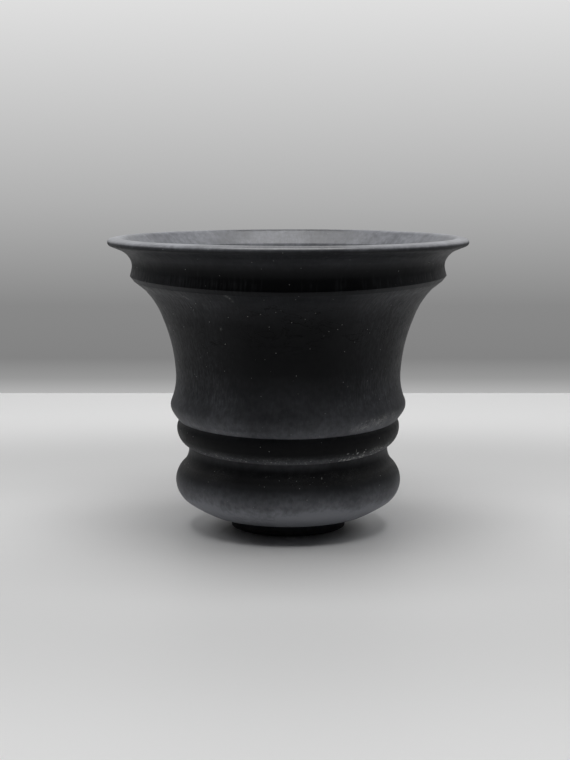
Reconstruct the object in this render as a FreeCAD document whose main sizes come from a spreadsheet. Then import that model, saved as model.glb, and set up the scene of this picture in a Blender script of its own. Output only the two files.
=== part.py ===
import FreeCAD, Part
import math
import os

import Sketcher

# A wide-mouthed black clay pot, modelled as the clay pieces that a potter makes apart and lutes together:
# foot ring, floor slab, seam coil, base bowl, middle bead, flared wall, collar band and rim ring.
# Every piece is turned about +Z. The origin is on that axis, on the surface that the pot stands on.
# Neighbours meet on stepped lands: a flat ring outside, a short upright face, and a flat ring inside.

# Driving dimensions in millimetres. Radii are measured from the axis and heights from the standing surface.
SIZES = {
    # The clay, and the step of a luted joint.
    "clay_thick": 8.0,
    "step_rise": 4.0,
    "step_width": 4.0,
    # Foot ring, set back under the bowl, with a key that rises into the floor.
    "foot_outer": 45.0,
    "foot_inner": 34.0,
    "foot_high": 12.0,
    "foot_round": 1.5,
    "key_inner": 37.5,
    "key_outer": 41.5,
    "key_rise": 2.5,
    # Floor slab, let into the bowl from above.
    "floor_lower_radius": 56.0,
    "floor_upper_radius": 65.0,
    "floor_ledge": 17.0,
    "floor_top": 22.0,
    # Roll of clay pressed into the corner of the floor and the bowl.
    "coil_foot_radius": 56.5,
    "coil_climb": 0.62,
    "coil_round": 16.0,
    # Base bowl: flat land underneath, swelling bulge, then a cove up to the lower crease.
    "land_radius": 63.0,
    "flank_radius": 81.0,
    "flank_high": 22.3,
    "flank_round": 120.0,
    "heel_round": 19.9,
    "bulge_radius": 88.7,
    "bulge_high": 38.0,
    "bulge_round": 19.0,
    "turn_radius": 82.0,
    "turn_high": 51.8,
    "cove_round": 16.5,
    "lower_crease_radius": 78.4,
    "lower_crease_high": 64.6,
    "bowl_corner_radius": 74.5,
    "bowl_corner_high": 29.5,
    "bowl_belly_radius": 80.3,
    "bowl_belly_high": 41.0,
    "bowl_round": 14.3,
    "bowl_neck_high": 52.5,
    "bowl_neck_round": 14.7,
    # Middle bead, a round coil between the two creases.
    "bead_radius": 87.5,
    "bead_high": 78.5,
    "bead_round": 16.0,
    "bead_top_round": 10.0,
    "upper_crease_radius": 85.6,
    "upper_crease_high": 85.2,
    "bead_inner_radius": 79.0,
    "bead_inner_high": 78.0,
    "bead_inner_top_round": 20.0,
    "bead_inner_round": 15.0,
    # Flared wall: shoulder at the bottom, waist, and a flare that leans out under the collar.
    "shoulder_low_radius": 91.2,
    "shoulder_low_high": 92.8,
    "shoulder_under_round": 40.0,
    "shoulder_round": 10.0,
    "shoulder_top_radius": 91.6,
    "shoulder_top_high": 101.3,
    "waist_fall_round": 50.0,
    "waist_radius": 88.0,
    "waist_high": 120.0,
    "flare_round": 126.8,
    "flare_radius": 97.5,
    "flare_high": 165.2,
    "lean_round": 63.7,
    "lean_radius": 112.0,
    "lean_high": 188.7,
    "flare_slope": 21.0,
    "lean_slope": 48.0,
    "wall_inner_shoulder_high": 102.0,
    "wall_inner_shoulder_radius": 82.8,
    "wall_inner_fall_round": 60.0,
    "wall_inner_shoulder_round": 14.0,
    # Collar band: sharp lower arris, projecting edge, then a cove up to the rim.
    "arris_radius": 120.2,
    "arris_high": 195.2,
    "edge_radius": 122.9,
    "edge_high": 198.6,
    "edge_round": 4.0,
    "edge_cove_round": 36.0,
    "neck_radius": 121.3,
    "neck_high": 206.0,
    "neck_round": 12.1,
    "collar_top_radius": 124.1,
    "collar_top_high": 214.0,
    "collar_inner_round": 18.0,
    # Rim ring: cove, flat underside, round lip, and a dished top that falls into the pot.
    "rim_cove_radius": 131.2,
    "rim_cove_high": 219.3,
    "rim_cove_round": 16.8,
    "lip_under_radius": 138.0,
    "lip_under_high": 222.0,
    "lip_radius": 140.0,
    "lip_high": 224.7,
    "lip_round": 2.9,
    "lip_top_radius": 137.4,
    "lip_top_high": 227.4,
    "crest_radius": 131.9,
    "crest_high": 228.2,
    "crest_round": 20.0,
    "dish_radius": 127.5,
    "dish_high": 226.0,
    "dish_round": 6.0,
    "throat_radius": 118.2,
    "throat_high": 216.8,
    "throat_round": 20.0,
}

SHEET = "Sizes"


class Size:
    """A length that carries both its number and the sheet expression that gives it."""

    def __init__(self, value, text):
        self.value = value
        self.text = text

    def joined(self, other, sign, value):
        text = other.text if isinstance(other, Size) else str(other)
        return Size(value, f"({self.text} {sign} {text})")

    def __add__(self, other):
        return self.joined(other, "+", self.value + number(other))

    def __sub__(self, other):
        return self.joined(other, "-", self.value - number(other))

    def __mul__(self, other):
        return self.joined(other, "*", self.value * number(other))


def number(length):
    return length.value if isinstance(length, Size) else float(length)


def cosine(angle):
    return Size(math.cos(math.radians(angle.value)), f"cos({angle.text} * 1 deg)")


def sine(angle):
    return Size(math.sin(math.radians(angle.value)), f"sin({angle.text} * 1 deg)")


def make_sheet(doc):
    """Writes the driving dimensions to the sheet and hands them back as Size values by name."""
    sheet = doc.addObject("Spreadsheet::Sheet", SHEET)
    for row, (name, value) in enumerate(SIZES.items(), start=1):
        sheet.set(f"A{row}", name)
        sheet.set(f"B{row}", str(value))
        sheet.setAlias(f"B{row}", name)
    doc.recompute()
    return {name: Size(value, f"{SHEET}.{name}") for name, value in SIZES.items()}


def line(radius, high):
    """The next corner of an outline, reached by a straight side."""
    return (radius, high, None, 0)


def swell(radius, high, round_radius):
    """The next corner, reached by an arc that bows out of the clay.

    Outlines keep the clay on their left.
    """
    return (radius, high, round_radius, -1)


def hollow(radius, high, round_radius):
    """The next corner, reached by an arc that bows into the clay."""
    return (radius, high, round_radius, 1)


def arc_between(start, end, radius, side):
    """The shorter arc from start to end, bowing left of the chord for side 1 and right for side -1."""
    chord = end - start
    left = FreeCAD.Vector(-chord.y, chord.x, 0)
    left.normalize()
    reach = math.sqrt(radius**2 - (chord.Length / 2) ** 2)
    middle = (start + end) * 0.5
    centre = middle - left * side * reach
    crown = centre + left * side * radius
    return Part.Arc(start, crown, end)


def add_outline(body, label, corners):
    """Draws a closed outline on the body's upright plane and binds every corner and arc to the sheet.

    Each corner says how it is reached from the one before, and the first from the last."""
    plane = next(one for one in body.Origin.OriginFeatures if one.Role == "XZ_Plane")
    sketch = body.newObject("Sketcher::SketchObject", label)
    sketch.AttachmentSupport = [(plane, "")]
    sketch.MapMode = "FlatFace"
    points = [FreeCAD.Vector(number(radius), number(high), 0) for radius, high, _, _ in corners]
    bound = []
    for index, (radius, high, round_radius, side) in enumerate(corners):
        start, end = points[index - 1], points[index]
        if round_radius is None:
            sketch.addGeometry(Part.LineSegment(start, end), False)
            continue
        sketch.addGeometry(arc_between(start, end, number(round_radius), side), False)
        constraint = Sketcher.Constraint("Radius", index, number(round_radius))
        bound.append((sketch.addConstraint(constraint), round_radius))
    for index in range(len(corners)):
        before = (index - 1) % len(corners)
        here = points[before]
        sketch.addConstraint(Sketcher.Constraint("Coincident", before, end_at(sketch, before, here),
                                                 index, end_at(sketch, index, here)))
    for index, (radius, high, _, _) in enumerate(corners):
        corner = end_at(sketch, index, points[index])
        if number(radius) == 0:
            sketch.addConstraint(Sketcher.Constraint("PointOnObject", index, corner, -2))
        else:
            across = Sketcher.Constraint("DistanceX", -1, 1, index, corner, number(radius))
            bound.append((sketch.addConstraint(across), radius))
        if number(high) == 0:
            sketch.addConstraint(Sketcher.Constraint("PointOnObject", index, corner, -1))
        else:
            up = Sketcher.Constraint("DistanceY", -1, 1, index, corner, number(high))
            bound.append((sketch.addConstraint(up), high))
    for index, length in bound:
        sketch.setExpression(f"Constraints[{index}]", length.text)
    return sketch


def end_at(sketch, index, point):
    """Which end of a side, 1 or 2, lies at the point: an arc may be stored the other way round."""
    first_gap = (sketch.getPoint(index, 1) - point).Length
    second_gap = (sketch.getPoint(index, 2) - point).Length
    return 1 if first_gap < second_gap else 2


def turned(doc, name, corners):
    """A body turned whole about the upright axis from a closed outline."""
    body = doc.addObject("PartDesign::Body", name)
    body.Label = name
    sketch = add_outline(body, f"{name}_outline", corners)
    turn = body.newObject("PartDesign::Revolution", f"{name}_turn")
    turn.Profile = sketch
    turn.ReferenceAxis = (sketch, ["V_Axis"])
    turn.Angle = 360.0
    sketch.Visibility = False
    body.Placement = FreeCAD.Placement()
    return body


def foot_ring(doc, size):
    edge = size["foot_round"]
    return turned(doc, "foot_ring", [
        line(size["foot_outer"] - edge, Size(0.0, "0")),
        swell(size["foot_outer"], edge, edge),
        line(size["foot_outer"], size["foot_high"]),
        line(size["key_outer"], size["foot_high"]),
        line(size["key_outer"], size["foot_high"] + size["key_rise"]),
        line(size["key_inner"], size["foot_high"] + size["key_rise"]),
        line(size["key_inner"], size["foot_high"]),
        line(size["foot_inner"], size["foot_high"]),
        line(size["foot_inner"], edge),
        swell(size["foot_inner"] + edge, Size(0.0, "0"), edge),
    ])


def floor_disc(doc, size):
    axis = Size(0.0, "0")
    return turned(doc, "floor_disc", [
        line(axis, size["foot_high"]),
        line(size["key_inner"], size["foot_high"]),
        line(size["key_inner"], size["foot_high"] + size["key_rise"]),
        line(size["key_outer"], size["foot_high"] + size["key_rise"]),
        line(size["key_outer"], size["foot_high"]),
        line(size["floor_lower_radius"], size["foot_high"]),
        line(size["floor_lower_radius"], size["floor_ledge"]),
        line(size["floor_upper_radius"], size["floor_ledge"]),
        line(size["floor_upper_radius"], size["floor_top"]),
        line(axis, size["floor_top"]),
    ])


def floor_seam_coil(doc, size):
    """The roll covers the seam and climbs part of the way up the bowl's straight inner flank."""
    run = size["bowl_corner_radius"] - size["floor_upper_radius"]
    rise = size["bowl_corner_high"] - size["floor_top"]
    climb = size["coil_climb"]
    return turned(doc, "floor_seam_coil", [
        line(size["floor_upper_radius"], size["floor_top"]),
        line(size["floor_upper_radius"] + run * climb, size["floor_top"] + rise * climb),
        swell(size["coil_foot_radius"], size["floor_top"], size["coil_round"]),
    ])


def base_bowl(doc, size):
    inner_lip = size["lower_crease_radius"] - size["clay_thick"]
    step_face = inner_lip + size["step_width"]
    step_top = size["lower_crease_high"] + size["step_rise"]
    return turned(doc, "base_bowl", [
        line(size["floor_lower_radius"], size["foot_high"]),
        line(size["land_radius"], size["foot_high"]),
        swell(size["flank_radius"], size["flank_high"], size["flank_round"]),
        swell(size["bulge_radius"], size["bulge_high"], size["heel_round"]),
        swell(size["turn_radius"], size["turn_high"], size["bulge_round"]),
        hollow(size["lower_crease_radius"], size["lower_crease_high"], size["cove_round"]),
        line(step_face, size["lower_crease_high"]),
        line(step_face, step_top),
        line(inner_lip, step_top),
        line(inner_lip, size["lower_crease_high"]),
        swell(size["bowl_corner_radius"], size["bowl_neck_high"], size["bowl_neck_round"]),
        hollow(size["bowl_belly_radius"], size["bowl_belly_high"], size["bowl_round"]),
        hollow(size["bowl_corner_radius"], size["bowl_corner_high"], size["bowl_round"]),
        line(size["floor_upper_radius"], size["floor_top"]),
        line(size["floor_upper_radius"], size["floor_ledge"]),
        line(size["floor_lower_radius"], size["floor_ledge"]),
    ])


def middle_bead(doc, size):
    lower_inner = size["lower_crease_radius"] - size["clay_thick"]
    lower_face = lower_inner + size["step_width"]
    upper_inner = size["upper_crease_radius"] - size["clay_thick"]
    upper_face = upper_inner + size["step_width"]
    lower_top = size["lower_crease_high"] + size["step_rise"]
    upper_top = size["upper_crease_high"] + size["step_rise"]
    return turned(doc, "middle_bead", [
        line(size["lower_crease_radius"], size["lower_crease_high"]),
        swell(size["bead_radius"], size["bead_high"], size["bead_round"]),
        swell(size["upper_crease_radius"], size["upper_crease_high"], size["bead_top_round"]),
        line(upper_face, size["upper_crease_high"]),
        line(upper_face, upper_top),
        line(upper_inner, upper_top),
        hollow(size["bead_inner_radius"], size["bead_inner_high"], size["bead_inner_top_round"]),
        hollow(lower_inner, lower_top, size["bead_inner_round"]),
        line(lower_face, lower_top),
        line(lower_face, size["lower_crease_high"]),
    ])


def flared_wall(doc, size):
    """The inner face lies one clay thickness inside the outer arcs, square to them."""
    clay = size["clay_thick"]
    lower_inner = size["upper_crease_radius"] - clay
    lower_face = lower_inner + size["step_width"]
    lower_top = size["upper_crease_high"] + size["step_rise"]
    upper_inner = size["arris_radius"] - clay
    upper_face = upper_inner + size["step_width"]
    upper_top = size["arris_high"] + size["step_rise"]
    return turned(doc, "flared_wall", [
        line(size["upper_crease_radius"], size["upper_crease_high"]),
        swell(size["shoulder_low_radius"], size["shoulder_low_high"], size["shoulder_under_round"]),
        swell(size["shoulder_top_radius"], size["shoulder_top_high"], size["shoulder_round"]),
        hollow(size["waist_radius"], size["waist_high"], size["waist_fall_round"]),
        hollow(size["flare_radius"], size["flare_high"], size["flare_round"]),
        hollow(size["lean_radius"], size["lean_high"], size["lean_round"]),
        line(size["arris_radius"], size["arris_high"]),
        line(upper_face, size["arris_high"]),
        line(upper_face, upper_top),
        line(upper_inner, upper_top),
        line(size["lean_radius"] - clay * cosine(size["lean_slope"]),
             size["lean_high"] + clay * sine(size["lean_slope"])),
        swell(size["flare_radius"] - clay * cosine(size["flare_slope"]),
               size["flare_high"] + clay * sine(size["flare_slope"]), size["lean_round"] - clay),
        swell(size["waist_radius"] - clay, size["waist_high"], size["flare_round"] - clay),
        swell(size["wall_inner_shoulder_radius"], size["wall_inner_shoulder_high"],
               size["wall_inner_fall_round"]),
        hollow(lower_inner, lower_top, size["wall_inner_shoulder_round"]),
        line(lower_face, lower_top),
        line(lower_face, size["upper_crease_high"]),
    ])


def collar_band(doc, size):
    lower_inner = size["arris_radius"] - size["clay_thick"]
    lower_face = lower_inner + size["step_width"]
    lower_top = size["arris_high"] + size["step_rise"]
    upper_face = size["collar_top_radius"] - size["step_width"]
    upper_inner = size["collar_top_radius"] - size["clay_thick"]
    upper_low = size["collar_top_high"] - size["step_rise"]
    return turned(doc, "collar_band", [
        line(size["arris_radius"], size["arris_high"]),
        swell(size["edge_radius"], size["edge_high"], size["edge_round"]),
        hollow(size["neck_radius"], size["neck_high"], size["edge_cove_round"]),
        hollow(size["collar_top_radius"], size["collar_top_high"], size["neck_round"]),
        line(upper_face, size["collar_top_high"]),
        line(upper_face, upper_low),
        line(upper_inner, upper_low),
        swell(lower_inner, lower_top, size["collar_inner_round"]),
        line(lower_face, lower_top),
        line(lower_face, size["arris_high"]),
    ])


def rim_ring(doc, size):
    lower_face = size["collar_top_radius"] - size["step_width"]
    lower_inner = size["collar_top_radius"] - size["clay_thick"]
    tongue_low = size["collar_top_high"] - size["step_rise"]
    return turned(doc, "rim_ring", [
        line(size["collar_top_radius"], size["collar_top_high"]),
        hollow(size["rim_cove_radius"], size["rim_cove_high"], size["rim_cove_round"]),
        line(size["lip_under_radius"], size["lip_under_high"]),
        swell(size["lip_radius"], size["lip_high"], size["lip_round"]),
        swell(size["lip_top_radius"], size["lip_top_high"], size["lip_round"]),
        swell(size["crest_radius"], size["crest_high"], size["crest_round"]),
        swell(size["dish_radius"], size["dish_high"], size["dish_round"]),
        line(size["throat_radius"], size["throat_high"]),
        swell(lower_inner, tongue_low, size["throat_round"]),
        line(lower_face, tongue_low),
        line(lower_face, size["collar_top_high"]),
    ])


PIECES = (
    foot_ring,
    floor_disc,
    floor_seam_coil,
    base_bowl,
    middle_bead,
    flared_wall,
    collar_band,
    rim_ring,
)


def check(doc, bodies):
    """Stops the build if any object failed to solve or any piece is not one sound solid."""
    failed = [one.Name for one in doc.Objects if {"Invalid", "Error"} & set(one.State)]
    if failed:
        raise RuntimeError(f"these objects failed to build: {failed}")
    for body in bodies:
        shape = body.Shape
        if shape.isNull() or not shape.isValid() or len(shape.Solids) != 1 or shape.Volume <= 0:
            raise RuntimeError(f"{body.Label} is not one sound solid")


def main():
    doc = FreeCAD.newDocument("black_clay_pot")
    size = make_sheet(doc)
    bodies = [make(doc, size) for make in PIECES]
    doc.recompute()
    check(doc, bodies)
    os.makedirs("parts", exist_ok=True)
    for body in bodies:
        body.Shape.exportStep(os.path.join("parts", f"{body.Label}.step"))
        box = body.Shape.optimalBoundingBox(True, False)
        print(f"{body.Label}: {body.Shape.Volume / 1000:.1f} cm3, z {box.ZMin:.2f} to {box.ZMax:.2f}")


main()
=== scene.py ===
"""Dresses the black clay pot: finely turned clay pieces, their smoked finishes, and a plain studio."""

import itertools
import logging
import math
from dataclasses import dataclass, field
from enum import Enum

import bpy
import numpy as np
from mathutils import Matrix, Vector


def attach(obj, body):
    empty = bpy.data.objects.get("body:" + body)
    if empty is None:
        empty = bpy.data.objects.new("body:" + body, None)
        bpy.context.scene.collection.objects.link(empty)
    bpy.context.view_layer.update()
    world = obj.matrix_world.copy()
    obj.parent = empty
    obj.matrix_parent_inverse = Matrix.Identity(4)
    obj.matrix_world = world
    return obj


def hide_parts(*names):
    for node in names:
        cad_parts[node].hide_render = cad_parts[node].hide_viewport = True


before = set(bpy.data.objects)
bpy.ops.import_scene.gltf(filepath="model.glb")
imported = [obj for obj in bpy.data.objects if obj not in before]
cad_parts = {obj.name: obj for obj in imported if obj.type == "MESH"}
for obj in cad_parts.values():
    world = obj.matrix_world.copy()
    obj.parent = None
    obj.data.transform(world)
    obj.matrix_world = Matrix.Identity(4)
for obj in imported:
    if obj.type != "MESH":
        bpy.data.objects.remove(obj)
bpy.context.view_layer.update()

MM = 0.001
SEAM_WIDTH = 1e-6
SPECK_CORE = 0.4
SHARP_DEGREES = 40.0
UNROLL_RADIUS = 0.1
FULL_TURN = 2.0 * math.pi
LOG = logging.getLogger("black_clay_pot")


class Side(Enum):
    """Which way a stretch of a piece's outline faces."""

    OUTSIDE = "outside"
    INSIDE = "inside"
    JOINT = "joint"


class Paint(Enum):
    """Names of the painted amounts that a clay finish reads from the mesh."""

    # Pale dust, and painted light where the clay faces the lit table, the lights or the backdrop.
    DUST_AND_LIGHT = "bloom"
    CHALK = "chalk"
    CRAZE = "craze"
    STREAK = "streak"
    GLOSS = "gloss"
    CHIP = "chip"


def smooth_step(value: np.ndarray, low: float, high: float) -> np.ndarray:
    """Ease from 0 at low to 1 at high."""
    share = np.clip((value - low) / (high - low), 0.0, 1.0)
    return share * share * (3.0 - 2.0 * share)


@dataclass(frozen=True)
class Grain:
    """Smooth seeded noise through space, for the unevenness that hands leave in clay."""

    seed: int
    cells: int = 256

    def at(self, points: np.ndarray) -> np.ndarray:
        """Give the noise at each point.

        Args:
            points: Points as an array whose last axis is x, y and z, in noise cells.

        Returns:
            Numbers mostly between -0.7 and 0.7, one for each point.
        """
        rng = np.random.default_rng(self.seed)
        order = np.tile(rng.permutation(self.cells), 2)
        lean = rng.normal(size=(self.cells, 3))
        lean /= np.linalg.norm(lean, axis=1, keepdims=True)
        cell = np.floor(points).astype(int)
        part = points - cell
        cell %= self.cells
        fade = part**3 * (part * (part * 6.0 - 15.0) + 10.0)
        total = np.zeros(points.shape[:-1])
        for corner in itertools.product((0, 1), repeat=3):
            index = order[cell[..., 0] + corner[0]]
            index = order[index + cell[..., 1] + corner[1]]
            index = order[index + cell[..., 2] + corner[2]]
            reach = part - np.array(corner)
            weight = np.prod(np.where(np.array(corner) == 1, fade, 1.0 - fade), axis=-1)
            total += weight * np.sum(lean[index] * reach, axis=-1)
        return total

    def rough(self, points: np.ndarray, octaves: int) -> np.ndarray:
        """Give noise with finer noise on it, each octave twice as fine and half as strong."""
        return sum(self.at(points * 2.0**octave) / 2.0**octave for octave in range(octaves))


@dataclass(frozen=True)
class Stretch:
    """One smooth stretch of an outline between two corners, as points of radius and height."""

    points: np.ndarray

    @property
    def length(self) -> float:
        """Length along the stretch in metres."""
        return float(np.sum(np.linalg.norm(np.diff(self.points, axis=0), axis=1)))

    def resampled(self, step: float) -> tuple[np.ndarray, np.ndarray]:
        """Fit a smooth curve through the points and place new ones along it.

        Args:
            step: The most room between two new points, in metres.

        Returns:
            The new points and the unit direction of the curve at each of them.
        """
        chords = np.linalg.norm(np.diff(self.points, axis=0), axis=1)
        along = np.concatenate([[0.0], np.cumsum(chords)])
        slopes = np.gradient(self.points, along, axis=0, edge_order=1)
        if len(along) > 2:
            slopes[0] = 2.0 * (self.points[1] - self.points[0]) / chords[0] - slopes[1]
            slopes[-1] = 2.0 * (self.points[-1] - self.points[-2]) / chords[-1] - slopes[-2]
        count = max(1, math.ceil(along[-1] / step))
        wanted = np.linspace(0.0, along[-1], count + 1)
        index = np.clip(np.searchsorted(along, wanted, side="right") - 1, 0, len(chords) - 1)
        chord = chords[index][:, None]
        share = (wanted[:, None] - along[index][:, None]) / chord
        start, end = self.points[index], self.points[index + 1]
        leave, arrive = slopes[index] * chord, slopes[index + 1] * chord
        new = (start * (2 * share**3 - 3 * share**2 + 1) + leave * (share**3 - 2 * share**2 + share)
               + end * (3 * share**2 - 2 * share**3) + arrive * (share**3 - share**2))
        heading = np.gradient(new, axis=0)
        return new, heading / np.linalg.norm(heading, axis=1, keepdims=True)


@dataclass(frozen=True)
class Outline:
    """The closed outline that a piece of the frame was turned from, with the clay on its left."""

    stretches: tuple[Stretch, ...]

    @classmethod
    def of_node(cls, node: str, corner_degrees: float = 16.0) -> "Outline":
        """Read the outline of a turned piece from the frame.

        Args:
            node: The piece's name in the frame.
            corner_degrees: The least turn that counts as a corner.

        Returns:
            The outline, split at its corners.
        """
        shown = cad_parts[node]
        mesh = shown.data
        flat = np.empty(len(mesh.vertices) * 3)
        mesh.vertices.foreach_get("co", flat)
        turn = np.array(shown.matrix_world.to_3x3())
        points = flat.reshape(-1, 3) @ turn.T
        pairs = np.stack([np.hypot(points[:, 0], points[:, 1]), points[:, 2]], axis=1)
        rings, ring_of = np.unique(np.round(pairs / MM, 2), axis=0, return_inverse=True)
        ring_of = ring_of.reshape(-1)
        ends = np.empty(len(mesh.edges) * 2, dtype=int)
        mesh.edges.foreach_get("vertices", ends)
        ends = ends.reshape(-1, 2)
        on_seam = (np.abs(points[:, 1]) < SEAM_WIDTH) & (points[:, 0] > 0.0)
        seam = ring_of[ends[on_seam[ends].all(axis=1)]]
        joined = cls._neighbours(seam, ring_of[ends], len(rings))
        loop = cls._walk(joined)
        ordered = rings[loop] * MM
        if any(len(one) == 1 for one in joined):
            low, high = ordered[0], ordered[-1]
            ordered = np.vstack([[0.0, low[1]], ordered, [0.0, high[1]]])
        if cls._area(ordered) < 0:
            ordered = ordered[::-1]
        return cls(cls._split(ordered, math.radians(corner_degrees)))

    @staticmethod
    def _neighbours(seam: np.ndarray, edges: np.ndarray, count: int) -> list[set[int]]:
        """Find the two rings beside each ring.

        Args:
            seam: The pairs of rings that an edge joins along the seam where the turning began.
            edges: The pairs of rings that any edge joins. They close the flat faces, which have no seam.
            count: How many rings there are.

        Returns:
            The neighbours of each ring: two, or one where a flat cap closes over the axis.
        """
        joined: list[set[int]] = [set() for _ in range(count)]
        for first, second in seam.tolist():
            if first != second:
                joined[first].add(second)
                joined[second].add(first)
        for first, second in sorted({(min(pair), max(pair)) for pair in edges.tolist()}):
            if first != second and len(joined[first]) < 2 and len(joined[second]) < 2:
                joined[first].add(second)
                joined[second].add(first)
        return joined

    @staticmethod
    def _walk(joined: list[set[int]]) -> list[int]:
        """Put the rings in order along the outline.

        Args:
            joined: The neighbours of each ring.

        Returns:
            The rings' numbers in order.
        """
        start = next((index for index, one in enumerate(joined) if len(one) == 1), 0)
        loop, seen = [start], {start}
        while True:
            onward = [one for one in sorted(joined[loop[-1]]) if one not in seen]
            if not onward:
                return loop
            loop.append(onward[0])
            seen.add(onward[0])

    @staticmethod
    def _area(points: np.ndarray) -> float:
        """Give the signed area inside the outline."""
        onward = np.roll(points, -1, axis=0)
        return float(np.sum(points[:, 0] * onward[:, 1] - onward[:, 0] * points[:, 1]) / 2.0)

    @staticmethod
    def _split(points: np.ndarray, corner: float) -> tuple[Stretch, ...]:
        """Cut a closed outline into stretches at the points where it turns sharply.

        Args:
            points: The outline's points.
            corner: The least turn that counts, in radians.

        Returns:
            The stretches in order.
        """
        before = points - np.roll(points, 1, axis=0)
        after = np.roll(points, -1, axis=0) - points
        cross = before[:, 0] * after[:, 1] - before[:, 1] * after[:, 0]
        turns = np.abs(np.arctan2(cross, np.sum(before * after, axis=1)))
        corners = np.flatnonzero(turns > corner)
        stretches = []
        for first, last in zip(corners, np.roll(corners, -1)):
            span = np.arange(first, last + 1 if last > first else last + len(points) + 1) % len(points)
            stretches.append(Stretch(points[span]))
        return tuple(stretches)


@dataclass
class Surface:
    """A turned piece's surface as a grid: a row for each point of its outline, a column for each angle."""

    angle: np.ndarray
    radius: np.ndarray
    high: np.ndarray
    normal_out: np.ndarray
    normal_up: np.ndarray
    side: np.ndarray

    @property
    def outside(self) -> np.ndarray:
        """1 on the rows that face outwards and 0 on the others."""
        return (self.side == Side.OUTSIDE.value).astype(float)[:, None]

    @property
    def inside(self) -> np.ndarray:
        """1 on the rows that face into the pot and 0 on the others."""
        return (self.side == Side.INSIDE.value).astype(float)[:, None]

    def unrolled(self, around: float, upright: float) -> np.ndarray:
        """Give noise coordinates that wrap round the pot.

        Args:
            around: Size of a noise cell round the pot, in metres.
            upright: Size of a noise cell up the pot, in metres.

        Returns:
            Points for Grain, as an array whose last axis is x, y and z.
        """
        reach = UNROLL_RADIUS / around
        x = np.sin(self.angle) * reach
        y = -np.cos(self.angle) * reach
        z = np.broadcast_to(self.high / upright, x.shape)
        return np.stack([x, y, z], axis=-1)

    def gap_round(self, degrees: float) -> np.ndarray:
        """Give the distance round the surface from an angle, in metres, positive to the viewer's right."""
        turn = (self.angle - math.radians(degrees) + math.pi) % FULL_TURN - math.pi
        return turn * self.radius


@dataclass(frozen=True)
class Mark:
    """A rubbed or chipped place on the outside: where it is, its size in millimetres, and its tilt."""

    degrees: float
    high: float
    wide: float
    tall: float
    strength: float = 1.0
    tilt: float = 0.0

    def mask(self, surface: Surface) -> np.ndarray:
        """Give the mark's strength over a surface, fading at its edge.

        Args:
            surface: The surface to mark.

        Returns:
            The strength at each point of the surface.
        """
        across = surface.gap_round(self.degrees) / MM
        up = surface.high / MM - self.high
        cos, sin = math.cos(math.radians(self.tilt)), math.sin(math.radians(self.tilt))
        turned_across = (across * cos + up * sin) / self.wide
        turned_up = (up * cos - across * sin) / self.tall
        return self.strength * np.exp(-(turned_across**2 + turned_up**2))


@dataclass(frozen=True)
class Chips:
    """Small pale chips scattered over a stretch of the outside. Heights and sizes are in millimetres."""

    seed: int
    count: int
    degrees: tuple[float, float]
    high: tuple[float, float]
    size: tuple[float, float] = (0.35, 0.75)
    strength: tuple[float, float] = (0.4, 1.0)

    def mask(self, surface: Surface) -> np.ndarray:
        """Give the strength of the nearest chip over a surface.

        Args:
            surface: The surface to mark.

        Returns:
            The strength, from 0 to 1, at each point of the surface.
        """
        rng = np.random.default_rng(self.seed)
        total = np.zeros_like(surface.angle)
        for _ in range(self.count):
            size = rng.uniform(*self.size)
            place = (rng.uniform(*self.degrees), rng.uniform(*self.high))
            chip = Mark(*place, size, 0.8 * size, rng.uniform(*self.strength))
            total = np.maximum(total, chip.mask(surface))
        return total * surface.outside


@dataclass(frozen=True)
class HandWork:
    """How far hand-turned clay stands off its true outline, in millimetres."""

    seed: int = 11
    out_of_round: float = 0.35
    turning: float = 0.05
    facets: float = 0.035

    def lift(self, surface: Surface) -> np.ndarray:
        """Give the height of the clay over its outline, the same for pieces that meet.

        Args:
            surface: The surface to lift.

        Returns:
            The height at each point, in metres.
        """
        slow = Grain(self.seed).at(surface.unrolled(0.09, 0.12))
        rings = Grain(self.seed + 1).rough(surface.unrolled(0.2, 0.0022), 2)
        facets = Grain(self.seed + 2).rough(surface.unrolled(0.006, 0.024), 2)
        return (slow * self.out_of_round + rings * self.turning + facets * self.facets) * MM


@dataclass(frozen=True)
class Sag:
    """How far the soft rings sank at the front and rose at the sides, most on the right, in millimetres."""

    heights: tuple[float, ...] = (30.0, 62.0, 90.0, 125.0, 172.0, 192.0, 200.0, 213.0)
    drops: tuple[float, ...] = (0.0, 2.1, 1.9, 0.0, 0.0, 3.4, 3.8, 0.0)
    rises: tuple[float, ...] = (0.0, 1.3, 1.3, 0.0, 0.0, 0.7, 0.9, 0.0)
    narrow: float = 4.0

    def shift(self, surface: Surface) -> np.ndarray:
        """Give how far each point moves up, the same for pieces that meet.

        Args:
            surface: The surface to move.

        Returns:
            The move at each point, in metres.
        """
        high = surface.high / MM
        front = (0.5 + 0.5 * np.cos(surface.angle)) ** self.narrow
        across = np.sin(surface.angle)
        drop = np.interp(high, self.heights, self.drops) * front
        rise = np.interp(high, self.heights, self.rises) * across**2 * (0.7 + 0.3 * across)
        return (rise - drop) * MM


Colour = tuple[float, float, float]
Spot = tuple[float, float, float]


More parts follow.
